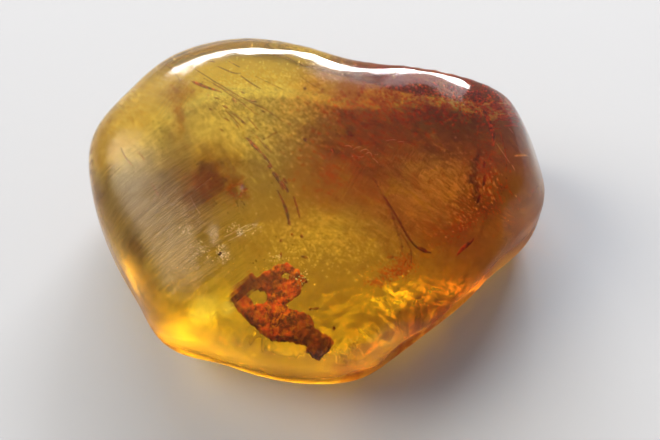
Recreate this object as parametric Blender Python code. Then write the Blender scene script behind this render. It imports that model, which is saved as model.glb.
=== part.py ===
"""Kauri gum: a hand-polished lump of clear fossil resin with scraps of bark and plant sealed inside it.

The lump comes from one formula. A ring of radii gives the plan of its waist, and a superellipse rolls
that plan over into a gently domed crown above and a belly below. The base is then cut flat, a hollow,
flakes and pits are bitten out of it, and the gum is parted in two along the sheet in which the scraps
lie, so that each scrap sits in a sealed pocket. Lengths are in millimetres until a mesh is made. +Z is
up, +X is towards the chipped end, and the lump lies on its base at Z = 0, centred over the origin.
"""

import math

import bmesh
import bpy
from mathutils import Matrix, Vector
from mathutils.bvhtree import BVHTree

MM = 0.001

# Driving dimensions.
LENGTH = 65.0
WIDTH = 49.2
THICKNESS = 24.0
# The gap between the two halves, and how far a pocket's walls stand off the scrap in it.
GAP = 0.3
ROOM = 0.6
# Further than the lump reaches anywhere.
BEYOND = 2 * LENGTH
# Edges that turn more than this many degrees stay sharp.
SHARP = 30.0

# The plan of the waist: one radius every 15 degrees, turning from +X towards +Y.
WAIST_RADII = (
    32.5, 33.5, 34.0, 31.5, 25.0, 22.0,
    23.0, 25.0, 28.0, 30.5, 31.5, 33.0,
    31.0, 29.0, 28.0, 28.5, 26.0, 25.5,
    25.5, 25.5, 24.0, 23.6, 24.8, 27.0,
)
# How squarely the waist rolls over: one superellipse exponent every 45 degrees, from +X.
ROLL = (4.5, 5.5, 6.0, 5.0, 3.2, 2.5, 2.5, 3.0)
# How much the sides draw in towards the crown: one share of the radius every 45 degrees, from +X.
TAPER = (0.14, 0.1, 0.0, 0.0, 0.0, 0.0, 0.0, 0.06)
# The heights of the crown and of the uncut belly over the waist, how far the crown falls away towards its
# edge, and how far the whole lump rises towards +Y.
CROWN = 0.5 * THICKNESS
BELLY = 0.62 * THICKNESS
DOMING = 0.11
LEAN = 0.05
# How often the balls that the lump, its bites and its pits start from are divided.
LUMP_FINENESS = 5
BITE_FINENESS = 4
PIT_FINENESS = 3

# Bites out of the side: azimuth, height, how far the bite looks up, radius, depth. Each is an egg that lies
# along the side, so many times longer than it is high.
BITES = {
    "back_hollow": (74.0, 12.0, 12.0, 28.0, 2.7),
    "back_chip": (86.0, 20.0, 30.0, 2.0, 0.7),
    "corner_flake": (-38.0, 7.0, -14.0, 6.0, 0.5),
    "front_flake": (-56.0, 8.0, -5.0, 5.0, 0.6),
    "low_flake": (-76.0, 8.0, -5.0, 5.0, 0.6),
}
BITE_STRETCH = 1.8

# Pits in the crown: x, y, ball radius, depth.
PITS = (
    (-10.5, -4.0, 2.2, 0.4),
    (-10.5, -10.0, 1.5, 0.5),
    (-8.5, -9.0, 1.2, 0.5),
    (-12.5, -12.5, 1.2, 0.5),
    (-14.0, -10.0, 2.0, 0.4),
    (-14.0, -13.0, 1.8, 0.3),
)

# The sheet in which the scraps lie, where the gum is parted: its height over the origin, and how far it
# dips towards -Y, in degrees.
PARTING = 13.5
DIP = 11.5

# The bark flake in plan, about its own middle, with the two windows worn through it.
FLAKE_MIDDLE = (-4.0, -15.0)
FLAKE_OUTLINE = (
    (-6.5, 1.0), (-5.0, 3.0), (-4.5, 4.0), (-2.5, 4.5), (-1.0, 5.5), (0.5, 5.5), (1.5, 4.0), (3.5, 3.0),
    (2.5, 2.0), (1.5, 1.0), (-1.0, 0.5), (1.5, -0.5), (3.0, -1.0), (4.0, -2.0), (5.5, -3.5), (6.0, -4.5),
    (5.5, -5.5), (4.5, -6.0), (3.5, -5.5), (2.5, -4.0), (0.5, -3.5), (-1.5, -3.5), (-3.0, -2.5),
    (-4.5, -1.0), (-5.5, 0.0),
)
FLAKE_WINDOWS = (
    ((-4.5, 1.5), (-4.0, 2.0), (-2.5, 2.0), (-2.0, 1.0), (-4.0, 0.5)),
    ((-1.0, 3.5), (0.0, 4.0), (1.0, 3.5), (1.0, 3.0), (-0.5, 2.5)),
)
FLAKE_THICKNESS = 1.4

# Slim scraps at the same level: middle, length, breadth, thickness and turn in plan.
SCRAPS = {
    "seed_husk": ((-15.5, 16.0), 4.8, 0.9, 0.8, -24.0),
    "bark_splinter": ((-8.5, 6.5), 3.6, 0.8, 0.7, -47.0),
    "bud_scale": ((23.2, 10.0), 5.8, 1.0, 0.8, -77.0),
    "leaf_sliver": ((19.2, -7.0), 3.8, 0.9, 0.7, 45.0),
}
SCRAP_SIDES = 8


def clear_scene():
    for left_over in list(bpy.data.objects):
        bpy.data.objects.remove(left_over, do_unlink=True)


def finish(name, colour, roughness, transmission=0.0, ior=1.5):
    """A Principled material: colour is linear red, green, blue."""
    material = bpy.data.materials.new(name)
    material.use_nodes = True
    shader = material.node_tree.nodes["Principled BSDF"]
    shader.inputs["Base Color"].default_value = (*colour, 1.0)
    shader.inputs["Roughness"].default_value = roughness
    shader.inputs["Transmission Weight"].default_value = transmission
    shader.inputs["IOR"].default_value = ior
    return material


def new_object(name, bm, material=None):
    """An object holding this mesh, which is in millimetres about the world's origin."""
    bmesh.ops.scale(bm, vec=(MM, MM, MM), verts=bm.verts)
    mesh = bpy.data.meshes.new(name)
    bm.to_mesh(mesh)
    bm.free()
    mesh.shade_smooth()
    mesh.set_sharp_from_angle(angle=math.radians(SHARP))
    if material:
        mesh.materials.append(material)
    made = bpy.data.objects.new(name, mesh)
    bpy.context.scene.collection.objects.link(made)
    return made


def as_cutter(made):
    made.hide_render = True
    made.display_type = "WIRE"
    return made


def cut_away(target, cutter):
    boolean = target.modifiers.new(cutter.name, "BOOLEAN")
    boolean.operation = "DIFFERENCE"
    boolean.solver = "EXACT"
    boolean.object = cutter


def towards(azimuth, up):
    """The unit vector at this azimuth that looks up by this much, both in degrees."""
    azimuth, up = math.radians(azimuth), math.radians(up)
    return Vector((math.cos(azimuth) * math.cos(up), math.sin(azimuth) * math.cos(up), math.sin(up)))


def around(values, angle):
    """Reads a closed ring of evenly spaced values at an angle, smoothly between them."""
    place = angle / math.tau * len(values)
    first = math.floor(place)
    t = place - first
    a, b, c, d = (values[(first + step) % len(values)] for step in (-1, 0, 1, 2))
    return b + 0.5 * t * (c - a + t * (2 * a - 5 * b + 4 * c - d + t * (3 * (b - c) + d - a)))


def lump_point(ray):
    """Where a ray from the middle of the lump meets its rounded surface, before anything is cut."""
    angle = math.atan2(ray.y, ray.x)
    waist = around(WAIST_RADII, angle)
    power = around(ROLL, angle)
    level = math.hypot(ray.x, ray.y) / waist
    upright = abs(ray.z) / (CROWN if ray.z > 0 else BELLY)
    point = ray * (level**power + upright**power) ** (-1 / power)
    reach = math.hypot(point.x, point.y) / waist
    if ray.z > 0:
        drawn_in = 1 - around(TAPER, angle) * point.z / CROWN
        point = Vector((point.x * drawn_in, point.y * drawn_in, point.z * (1 - DOMING * reach**2)))
    point.z += LEAN * point.y
    return point


def lump_shape():
    """The outer skin of the whole lump, lying on its base and centred over the origin."""
    bm = bmesh.new()
    bmesh.ops.create_icosphere(bm, subdivisions=LUMP_FINENESS, radius=1.0)
    for vertex in bm.verts:
        ray = Vector((vertex.co.x * LENGTH, vertex.co.y * WIDTH, vertex.co.z * THICKNESS))
        vertex.co = lump_point(ray.normalized())
    everything = bm.verts[:] + bm.edges[:] + bm.faces[:]
    base = (0, 0, -0.5 * THICKNESS)
    down = (0, 0, -1)
    cut = bmesh.ops.bisect_plane(bm, geom=everything, plane_co=base, plane_no=down, clear_outer=True)
    rim = [piece for piece in cut["geom_cut"] if isinstance(piece, bmesh.types.BMEdge)]
    bmesh.ops.contextual_create(bm, geom=rim)
    fit_to_box(bm)
    bmesh.ops.recalc_face_normals(bm, faces=bm.faces)
    return bm


def fit_to_box(bm):
    """Stretches the skin to its driving length, width and thickness."""
    low = Vector([min(v.co[axis] for v in bm.verts) for axis in range(3)])
    high = Vector([max(v.co[axis] for v in bm.verts) for axis in range(3)])
    sides = Vector((LENGTH, WIDTH, THICKNESS))
    for vertex in bm.verts:
        for axis in range(3):
            share = (vertex.co[axis] - low[axis]) / (high[axis] - low[axis])
            vertex.co[axis] = sides[axis] * (share - (0.5 if axis < 2 else 0.0))


def into_parting(bm):
    """Tilts and lifts what was drawn flat about the origin into the sheet where the gum is parted."""
    bmesh.ops.rotate(bm, matrix=Matrix.Rotation(math.radians(DIP), 3, "X"), verts=bm.verts)
    bmesh.ops.translate(bm, vec=(0, 0, PARTING), verts=bm.verts)


def side_bites(skin):
    """One egg for each bite, set against the side of the lump."""
    cutters = []
    for name, (azimuth, height, up, radius, depth) in BITES.items():
        outwards = towards(azimuth, 0)
        start = outwards * BEYOND + Vector((0, 0, height))
        place = skin.ray_cast(start, -outwards)[0]
        bm = bmesh.new()
        bmesh.ops.create_icosphere(bm, subdivisions=BITE_FINENESS, radius=radius)
        bmesh.ops.scale(bm, vec=(1, BITE_STRETCH, 1), verts=bm.verts)
        bmesh.ops.rotate(bm, matrix=Matrix.Rotation(math.radians(azimuth), 3, "Z"), verts=bm.verts)
        bmesh.ops.translate(bm, vec=place + towards(azimuth, up) * (radius - depth), verts=bm.verts)
        cutters.append(as_cutter(new_object(name, bm)))
    return cutters


def pit_cutters(skin):
    """One small ball for each pit, set into the crown from above."""
    cutters = []
    for number, (x, y, radius, depth) in enumerate(PITS, 1):
        place, normal = skin.ray_cast(Vector((x, y, BEYOND)), Vector((0, 0, -1)))[:2]
        bm = bmesh.new()
        bmesh.ops.create_icosphere(bm, subdivisions=PIT_FINENESS, radius=radius)
        bmesh.ops.translate(bm, vec=place + normal * (radius - depth), verts=bm.verts)
        cutters.append(as_cutter(new_object(f"pit_cutter_{number}", bm)))
    return cutters


def slab(name, low, high):
    """A cutter that takes away everything between two levels about the parting sheet."""
    bm = bmesh.new()
    size = Matrix.Diagonal((BEYOND, BEYOND, high - low, 1.0))
    bmesh.ops.create_cube(bm, size=1.0, matrix=Matrix.Translation((0, 0, 0.5 * (low + high))) @ size)
    into_parting(bm)
    return as_cutter(new_object(name, bm))


def bark_flake(material):
    """A flat plate lying in the parting sheet, with its windows cut through it."""
    bm = bmesh.new()
    rims = []
    for loop in (FLAKE_OUTLINE, *FLAKE_WINDOWS):
        middle = Vector((*FLAKE_MIDDLE, -0.5 * FLAKE_THICKNESS))
        corners = [bm.verts.new(middle + Vector((x, y, 0))) for x, y in loop]
        rims += [bm.edges.new(ends) for ends in zip(corners, corners[1:] + corners[:1])]
    filled = bmesh.ops.triangle_fill(bm, edges=rims, use_beauty=True)["geom"]
    underside = [piece for piece in filled if isinstance(piece, bmesh.types.BMFace)]
    raised = bmesh.ops.extrude_face_region(bm, geom=underside)["geom"]
    top = [piece for piece in raised if isinstance(piece, bmesh.types.BMVert)]
    bmesh.ops.translate(bm, vec=(0, 0, FLAKE_THICKNESS), verts=top)
    bmesh.ops.recalc_face_normals(bm, faces=bm.faces)
    into_parting(bm)
    return new_object("bark_flake", bm, material)


def bark_pocket():
    """A pocket that clears the flake all round: its corners pushed outwards, and the hull about them."""
    bm = bmesh.new()
    for x, y in FLAKE_OUTLINE:
        out = Vector((x, y, 0)).normalized() * ROOM
        for level in (-1, 1):
            height = level * (0.5 * FLAKE_THICKNESS + GAP)
            bm.verts.new((FLAKE_MIDDLE[0] + x + out.x, FLAKE_MIDDLE[1] + y + out.y, height))
    hull = bmesh.ops.convex_hull(bm, input=bm.verts)
    bmesh.ops.delete(bm, geom=hull["geom_interior"], context="VERTS")
    into_parting(bm)
    return as_cutter(new_object("bark_pocket", bm))


def spindle(name, place, length, breadth, thickness, turn, grow=0.0):
    """A slim pointed scrap in the parting sheet, or its pocket where it is grown all round."""
    bm = bmesh.new()
    bmesh.ops.create_uvsphere(bm, u_segments=SCRAP_SIDES, v_segments=SCRAP_SIDES, radius=0.5)
    bmesh.ops.rotate(bm, matrix=Matrix.Rotation(math.radians(90), 3, "Y"), verts=bm.verts)
    bmesh.ops.scale(bm, vec=(length + 2 * grow, breadth + 2 * grow, thickness + 2 * grow), verts=bm.verts)
    bmesh.ops.rotate(bm, matrix=Matrix.Rotation(math.radians(turn), 3, "Z"), verts=bm.verts)
    bmesh.ops.translate(bm, vec=(*place, 0), verts=bm.verts)
    into_parting(bm)
    return new_object(name, bm)


def main():
    clear_scene()
    gum = finish("gum", (0.52, 0.27, 0.012), 0.08, transmission=1.0, ior=1.54)
    bark = finish("bark", (0.09, 0.018, 0.008), 0.75)
    scrap = finish("scrap", (0.05, 0.014, 0.008), 0.7)

    skin = lump_shape()
    surface = BVHTree.FromBMesh(skin)
    bites = side_bites(surface)
    pits = pit_cutters(surface)
    pockets = [bark_pocket()]
    bark_flake(bark)
    for name, measures in SCRAPS.items():
        spindle(name, *measures).data.materials.append(scrap)
        pockets.append(as_cutter(spindle(f"{name}_pocket", *measures, grow=ROOM)))

    below = slab("below_parting", -BEYOND, 0.5 * GAP)
    above = slab("above_parting", -0.5 * GAP, BEYOND)
    lower_skin = skin.copy()
    upper = new_object("gum_upper", skin, gum)
    lower = new_object("gum_lower", lower_skin, gum)
    for half, others in ((upper, [below, *bites, *pits]), (lower, [above, *bites])):
        for cutter in [*others, *pockets]:
            cut_away(half, cutter)


main()
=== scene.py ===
# %% [markdown]
# # Kauri gum
# Kauri gum is resin that bled from a kauri tree and lay in the ground for ages. This lump was rubbed
# smooth by hand, so its skin is glossy, but fine scratches still cross it, and scraps of bark and plant
# fibre show deep inside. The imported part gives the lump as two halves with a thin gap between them,
# because each sealed pocket needed a way in. The lesson turns the halves into one clear body, dresses the
# five larger scraps, and adds what is too fine for a solid: fibres, flecks, specks, milk and scratches.

# %% Load the part
import math
import random

import bpy
from mathutils import Matrix, Vector


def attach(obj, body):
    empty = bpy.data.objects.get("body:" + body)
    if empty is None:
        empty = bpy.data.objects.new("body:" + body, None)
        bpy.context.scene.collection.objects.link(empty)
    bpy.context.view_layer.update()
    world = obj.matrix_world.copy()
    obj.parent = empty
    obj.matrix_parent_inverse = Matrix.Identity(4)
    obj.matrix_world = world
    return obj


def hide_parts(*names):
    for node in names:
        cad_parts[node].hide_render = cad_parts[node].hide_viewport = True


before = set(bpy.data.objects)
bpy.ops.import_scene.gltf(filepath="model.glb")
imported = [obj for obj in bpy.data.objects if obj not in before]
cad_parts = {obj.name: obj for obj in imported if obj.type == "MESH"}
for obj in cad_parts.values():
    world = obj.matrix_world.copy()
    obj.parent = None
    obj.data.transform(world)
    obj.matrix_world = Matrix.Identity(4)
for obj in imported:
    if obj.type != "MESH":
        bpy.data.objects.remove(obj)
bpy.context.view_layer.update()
MM = 0.001
print("the part has", sorted(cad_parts))

# %% [markdown]
# An operator acts on everything that is selected, and the part arrives selected. So the first helper
# clears the selection, and the second selects only the objects that are named, with the first one active.
# Modifiers are applied at once, so every piece is a plain mesh.

# %% Selection and modifier helpers
def deselect_all():
    """Leaves nothing selected, before something new is added."""
    bpy.ops.object.select_all(action="DESELECT")


def pick(*objects):
    """Selects these objects alone and makes the first one active."""
    deselect_all()
    for each in objects:
        each.select_set(True)
    bpy.context.view_layer.objects.active = objects[0]
    return objects[0]


def apply_modifier(piece, kind, **settings):
    """Adds a modifier with these settings and applies it at once."""
    pick(piece)
    modifier = piece.modifiers.new(kind.title(), kind)
    for setting, value in settings.items():
        setattr(modifier, setting, value)
    bpy.ops.object.modifier_apply(modifier=modifier.name)


def join(name, pieces):
    """Joins these pieces into one object with this name."""
    joined = pick(*pieces)
    bpy.ops.object.join()
    joined.name = joined.data.name = name
    return joined


print(len(bpy.context.selected_objects), "objects arrive selected")

# %% [markdown]
# The camera comes before the pieces, because the fibres are laid along its lines of sight. It looks down
# at the lump from 58 degrees, as someone leaning over a table would, through a 60 mm lens.

# %% Camera
FRAME_WIDTH, FRAME_HEIGHT = 660, 440
LENS, SENSOR = 60.0, 36.0
LOOKS_DOWN = math.radians(58.0)
CAMERA_DISTANCE = 155.3 * MM
LOOKS_AT = Vector((1.8, -1.25, 11.0)) * MM
RIGHTWARDS = Vector((1.0, 0.0, 0.0))
AHEAD = Vector((0.0, math.cos(LOOKS_DOWN), -math.sin(LOOKS_DOWN)))
UPWARDS = Vector((0.0, math.sin(LOOKS_DOWN), math.cos(LOOKS_DOWN)))
# One step in the frame, in metres, at the distance of the lump.
STEP = CAMERA_DISTANCE * SENSOR / LENS / FRAME_WIDTH

bpy.ops.object.camera_add(location=LOOKS_AT - AHEAD * CAMERA_DISTANCE,
                          rotation=(math.radians(90) - LOOKS_DOWN, 0, 0))
camera = bpy.context.object
camera.name = "camera"
camera.data.lens = LENS
camera.data.sensor_width = SENSOR
camera.data.clip_start = 0.01
bpy.context.scene.camera = camera
print("one step of the frame is", round(STEP / MM, 3), "mm")

# %% [markdown]
# On the real lump there is no seam. So copies of the two halves are merged, and the flat walls along the
# parting are found by their distance from its sheet and deleted. What is left falls apart into the walls
# of the pockets, which are thrown away, and two outer skins.

# %% Two open skins
PARTING_MIDDLE = Vector((0.0, 0.0, 13.5)) * MM
PARTING_DIP = math.radians(11.5)
PARTING_NORMAL = Vector((0.0, -math.sin(PARTING_DIP), math.cos(PARTING_DIP)))
HALF_GAP = 0.15 * MM

halves = []
for name in ("gum_upper", "gum_lower"):
    half = bpy.data.objects.new(name + "_copy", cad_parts[name].data.copy())
    bpy.context.collection.objects.link(half)
    halves.append(half)
gum = join("gum", halves)
bpy.ops.object.mode_set(mode="EDIT")
bpy.ops.mesh.select_all(action="SELECT")
bpy.ops.mesh.remove_doubles(threshold=1e-7)
bpy.ops.mesh.select_all(action="DESELECT")
bpy.ops.object.mode_set(mode="OBJECT")
for face in gum.data.polygons:
    level = abs((face.center - PARTING_MIDDLE).dot(PARTING_NORMAL))
    face.select = abs(level - HALF_GAP) < 0.02 * MM and abs(face.normal.dot(PARTING_NORMAL)) > 0.999
bpy.ops.object.mode_set(mode="EDIT")
bpy.ops.mesh.delete(type="FACE")
bpy.ops.mesh.separate(type="LOOSE")
bpy.ops.object.mode_set(mode="OBJECT")
shells = sorted(bpy.context.selected_objects, key=lambda shell: len(shell.data.polygons))
for pocket in shells[:-2]:
    bpy.data.objects.remove(pocket)
gum = join("gum", shells[-2:])
print("thrown away:", len(shells) - 2, "loose walls")

# %% [markdown]
# The rims of the two skins are bridged. A voxel remesh then gives the whole body even faces, and a
# smoothing pass rubs out the facets, as the polishing cloth did.

# %% The body of the gum
GRID = 0.4 * MM
bpy.ops.object.mode_set(mode="EDIT")
bpy.ops.mesh.select_mode(type="EDGE")
bpy.ops.mesh.select_all(action="DESELECT")
bpy.ops.mesh.select_non_manifold()
bpy.ops.mesh.bridge_edge_loops()
bpy.ops.mesh.select_all(action="SELECT")
bpy.ops.mesh.normals_make_consistent(inside=False)
bpy.ops.object.mode_set(mode="OBJECT")
apply_modifier(gum, "REMESH", mode="VOXEL", voxel_size=GRID)
apply_modifier(gum, "SMOOTH", factor=0.5, iterations=12)
bpy.ops.object.shade_smooth()
print("the gum has", len(gum.data.polygons), "faces")

# %% [markdown]
# Light bends where it enters the gum, so a scrap inside is not where it seems to be. These helpers follow
# a line of sight to the skin, bend it there by Snell's law, and go on to a depth under the skin, or to the
# sheet in which the larger scraps lie.

# %% Where the camera sees
BENDING = 1.54


def line_of_sight(across, down):
    """The direction in which the camera sees this place of the 660 by 440 frame."""
    reach = LENS / SENSOR * FRAME_WIDTH
    aim = AHEAD * reach + RIGHTWARDS * (across - FRAME_WIDTH / 2) + UPWARDS * (FRAME_HEIGHT / 2 - down)
    return aim.normalized()


def on_gum(across, down):
    """The place on the skin that is seen there, and the smooth normal of the skin."""
    hit, place, _, index = gum.ray_cast(camera.location, line_of_sight(across, down))
    if not hit:
        raise ValueError(f"the gum is not seen at {across}, {down}")
    corners = gum.data.polygons[index].vertices
    normal = sum((gum.data.vertices[corner].normal for corner in corners), Vector())
    return place, normal.normalized()


def into_gum(across, down):
    """Where the line of sight enters the gum, and the way it takes inside."""
    place, normal = on_gum(across, down)
    way = line_of_sight(across, down)
    level = -way.dot(normal)
    share = 1 / BENDING
    bent = way * share + normal * (share * level - math.sqrt(1 - share**2 * (1 - level**2)))
    return place, bent.normalized()


def inside(across, down, depth):
    """The place that is seen there when it lies this many millimetres lower than the skin."""
    place, way = into_gum(across, down)
    return place + way * (depth * MM / -way.z)


def on_sheet(across, down):
    """The place that is seen there when it lies in the sheet of the larger scraps."""
    place, way = into_gum(across, down)
    return place + way * ((PARTING_MIDDLE - place).dot(PARTING_NORMAL) / way.dot(PARTING_NORMAL))


middle_of_frame = on_gum(FRAME_WIDTH / 2, FRAME_HEIGHT / 2)[0]
print("the middle of the frame shows a place", round(middle_of_frame.z / MM, 1), "mm up")

# %% [markdown]
# Materials are built from a few nodes again and again, so short helpers add a node, set its plain inputs
# and link the rest.

# %% Node helpers
def new_look(name):
    """A material with nodes, its tree and its Principled shader."""
    look = bpy.data.materials.new(name)
    look.use_nodes = True
    return look, look.node_tree, look.node_tree.nodes["Principled BSDF"]


def add_node(tree, kind, inputs=None, **settings):
    """Adds a node. An input takes a plain value, or a socket to be linked."""
    made = tree.nodes.new(kind)
    for setting, value in settings.items():
        setattr(made, setting, value)
    for key, value in (inputs or {}).items():
        if isinstance(value, bpy.types.NodeSocket):
            tree.links.new(value, made.inputs[key])
        else:
            made.inputs[key].default_value = value
    return made


def calculate(tree, operation, *values):
    """One kind of arithmetic on these values, from left to right."""
    result = values[0]
    for value in values[1:]:
        result = add_node(tree, "ShaderNodeMath", {0: result, 1: value}, operation=operation).outputs[0]
    return result


def total(tree, *values):
    """The sum of these values."""
    return calculate(tree, "ADD", *values)


def product(tree, *values):
    """These values multiplied."""
    return calculate(tree, "MULTIPLY", *values)


def grey(tree, value):
    """A grey colour of this value."""
    return add_node(tree, "ShaderNodeCombineColor", {0: value, 1: value, 2: value}).outputs[0]


def vector_step(tree, operation, first, second=(0.0, 0.0, 0.0)):
    """One step of arithmetic on places, directions or colours."""
    return add_node(tree, "ShaderNodeVectorMath", {0: first, 1: second}, operation=operation).outputs[0]


def ramp(tree, value, start, end, low=0.0, high=1.0):
    """Runs smoothly from low to high as the value goes from start to end."""
    inputs = {"Value": value, "From Min": start, "From Max": end, "To Min": low, "To Max": high}
    return add_node(tree, "ShaderNodeMapRange", inputs, interpolation_type="SMOOTHSTEP").outputs["Result"]


def blend_colour(tree, share, first, second, how="MIX"):
    """Mixes two colours, each a socket or linear red, green, blue."""
    mixer = add_node(tree, "ShaderNodeMix", data_type="RGBA", blend_type=how)
    for key, value in (("Factor", share), ("A", first), ("B", second)):
        socket = next(s for s in mixer.inputs if s.name == key and (key == "Factor" or s.type == "RGBA"))
        if isinstance(value, bpy.types.NodeSocket):
            tree.links.new(value, socket)
        else:
            socket.default_value = (*value, 1.0) if key != "Factor" else value
    return next(s for s in mixer.outputs if s.type == "RGBA")


print("node helpers are ready")

# %% [markdown]
# Patterns read Object coordinates, in metres. A grain is a noise whose lumps have a size along its own
# axes. A cloud is an ellipsoid with a soft edge: 1 inside and 0 outside.

# %% Pattern helpers
def in_frame(tree, where, middle, size, turn=0.0):
    """The place as seen from middle, in units of size along axes turned about Z by degrees."""
    inputs = {"Vector": where, "Location": middle, "Rotation": (0, 0, math.radians(turn)), "Scale": size}
    return add_node(tree, "ShaderNodeMapping", inputs, vector_type="TEXTURE").outputs[0]


def grain(tree, where, lump, turn=0.0, detail=3.0, roughness=0.55):
    """A noise from 0 to 1. Its lumps have this size in metres, along axes turned by degrees."""
    size = lump if isinstance(lump, tuple) else (lump, lump, lump)
    inputs = {"Vector": in_frame(tree, where, (0, 0, 0), size, turn), "Scale": 1.0, "Detail": detail,
              "Roughness": roughness}
    return add_node(tree, "ShaderNodeTexNoise", inputs).outputs["Fac"]


def cloud(tree, where, middle, radii, turn=0.0, edge=0.5):
    """An ellipsoid mask about middle, turned about Z by degrees, with a soft edge."""
    inputs = {0: in_frame(tree, where, middle, radii, turn)}
    size = add_node(tree, "ShaderNodeVectorMath", inputs, operation="LENGTH").outputs["Value"]
    return ramp(tree, size, 1 + edge, 1 - edge)


def seen_cloud(tree, where, spot, spread, turn=0.0, edge=0.5, deep=9.0):
    """A cloud on the skin at this place of the frame, with its radii in steps of the frame."""
    radii = (spread[0] * STEP, spread[1] * STEP / math.sin(LOOKS_DOWN), deep * MM)
    return cloud(tree, where, on_gum(*spot)[0], radii, turn, edge)


print("pattern helpers are ready")

# %% [markdown]
# Clear gum bends light like amber and soaks up blue first, then green, so a deep path looks golden. Both
# are plain values on the shader and on the volume behind it.

# %% Clear gum
ABSORBED, ABSORBING = (0.995, 0.885, 0.06), 65.0
gum_look, tree, shader = new_look("gum")
where = tree.nodes.new("ShaderNodeTexCoord").outputs["Object"]
shader.inputs["Transmission Weight"].default_value = 0.98
shader.inputs["IOR"].default_value = BENDING
shader.inputs["Specular Tint"].default_value = (0.42, 0.40, 0.40, 1)
soak = add_node(tree, "ShaderNodeVolumeAbsorption", {"Color": (*ABSORBED, 1), "Density": ABSORBING})
tree.links.new(soak.outputs[0], tree.nodes["Material Output"].inputs["Volume"])
print("light bends by", BENDING)

# %% [markdown]
# The rest of the colour is uneven: milky olive at one end, red-brown at the other, with smoky patches
# between. Each patch is a cloud, placed where it is seen, and tints the skin around it. The dark patches
# along the front and lower left rim are painted shade, which dims the light shining through there. A noise
# shifts the place that the clouds read, so their edges are torn as smoke is.

# %% Patches of colour
PATCHES = {  # middle and radii in the frame, turn in degrees, linear colour, strength, softness of the edge
    "milky_corner": ((235, 120), (80, 55), 0, (1.0, 0.98, 0.62), 0.9, 0.6),
    "brown_end": ((438, 140), (128, 100), -12, (0.88, 0.20, 0.04), 1.0, 0.35),
    "dark_crest": ((425, 92), (98, 26), -8, (0.38, 0.07, 0.05), 0.85, 0.5),
    "smoke_middle": ((345, 185), (60, 24), 35, (0.88, 0.25, 0.05), 0.6, 0.6),
    "tan_haze": ((432, 190), (40, 30), 40, (0.80, 0.38, 0.12), 0.8, 0.6),
    "amber_fire": ((465, 245), (70, 32), 30, (0.60, 0.14, 0.01), 0.9, 0.5),
    "golden_floor": ((330, 320), (120, 55), 0, (1.0, 0.80, 0.08), 0.9, 0.6),
    "olive_middle": ((330, 240), (45, 26), 0, (1.0, 0.92, 0.24), 0.7, 0.7),
    "left_smoke": ((200, 178), (40, 28), 35, (0.66, 0.32, 0.04), 0.75, 0.6),
    "ring_smoke": ((205, 182), (24, 14), 40, (0.26, 0.07, 0.01), 0.9, 0.5),
    "shoulder_smudge": ((178, 94), (20, 12), 45, (0.45, 0.26, 0.08), 0.7, 0.6),
    "upright_smudge": ((178, 118), (6, 18), 0, (0.62, 0.38, 0.10), 0.8, 0.6),
    "rim_smudge": ((110, 183), (7, 13), 0, (0.40, 0.20, 0.06), 0.8, 0.6),
    "rim_smudge_high": ((104, 165), (5, 8), 0, (0.50, 0.28, 0.08), 0.7, 0.6),
    "ring_stain": ((237, 190), (13, 11), 0, (0.62, 0.20, 0.02), 0.9, 0.4),
    "ring_middle": ((238, 190), (4, 3), 0, (1.0, 0.72, 0.10), 0.9, 0.4),
    "orange_spot": ((374, 99), (9, 8), 0, (0.95, 0.32, 0.02), 0.9, 0.5),
    "orange_spot_low": ((390, 113), (8, 6), 0, (0.95, 0.32, 0.02), 0.9, 0.5),
    "dark_spot": ((350, 133), (7, 6), 0, (0.35, 0.08, 0.05), 0.8, 0.5),
    "dark_spot_low": ((332, 150), (6, 7), 0, (0.35, 0.10, 0.04), 0.8, 0.5),
    "brown_stem": ((481, 180), (5, 30), 8, (0.12, 0.02, 0.01), 0.9, 0.6),
    "tan_bump": ((518, 210), (24, 34), 0, (0.70, 0.27, 0.03), 0.9, 0.5),
    # Painted shade: darkens the front below the glow.
    "front_shade": ((165, 335), (48, 16), -20, (0.26, 0.15, 0.03), 0.85, 0.6),
    "red_rim": ((420, 330), (80, 12), 35, (0.50, 0.14, 0.02), 0.8, 0.5),
    "left_shoulder": ((126, 122), (34, 26), 40, (0.80, 0.62, 0.20), 0.7, 0.6),
    "left_edge": ((104, 150), (10, 30), 0, (0.60, 0.42, 0.14), 0.7, 0.6),
    # Painted shade: this entry and the next two darken the front and front-left rim.
    "front_left": ((166, 320), (32, 24), -40, (0.42, 0.26, 0.07), 0.85, 0.6),
    "low_glow_shade": ((190, 336), (44, 15), -15, (0.22, 0.12, 0.03), 0.9, 0.6),
    "front_rim": ((240, 361), (104, 24), -17, (0.13, 0.075, 0.012), 0.9, 0.6),
    "lip_rim": ((378, 362), (64, 14), 34, (0.30, 0.13, 0.04), 0.85, 0.5),
    # Painted shade: these two darken the lower left rim.
    "left_rim": ((134, 275), (34, 15), -66, (0.20, 0.11, 0.03), 0.9, 0.6),
    "low_left_rim": ((146, 308), (56, 18), -62, (0.30, 0.15, 0.03), 0.9, 0.6),
    "low_right_rim": ((472, 292), (52, 11), 46, (0.32, 0.11, 0.02), 0.85, 0.5),
    "end_rim": ((530, 224), (38, 14), 62, (0.42, 0.17, 0.02), 0.9, 0.5),
    "rind_line": ((408, 341), (88, 4), 35, (0.16, 0.02, 0.01), 0.9, 0.5),
    "orange_corner": ((385, 104), (22, 14), -40, (0.90, 0.26, 0.03), 0.7, 0.7),
    "red_shoulder": ((452, 120), (40, 16), -15, (0.40, 0.08, 0.03), 0.7, 0.6),
}
CLEAREST = (0.98, 0.82, 0.30)


def torn(tree, where, lump, reach):
    """The same place, shifted here and there by a noise, by about this reach."""
    inputs = {"Vector": in_frame(tree, where, (0, 0, 0), (lump, lump, lump)), "Scale": 1.0, "Detail": 4.0}
    shift = add_node(tree, "ShaderNodeTexNoise", inputs).outputs["Color"]
    shift = vector_step(tree, "SUBTRACT", shift, (0.5, 0.5, 0.5))
    shift = add_node(tree, "ShaderNodeVectorMath", {0: shift, "Scale": reach}, operation="SCALE").outputs[0]
    return vector_step(tree, "ADD", where, shift)


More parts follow.
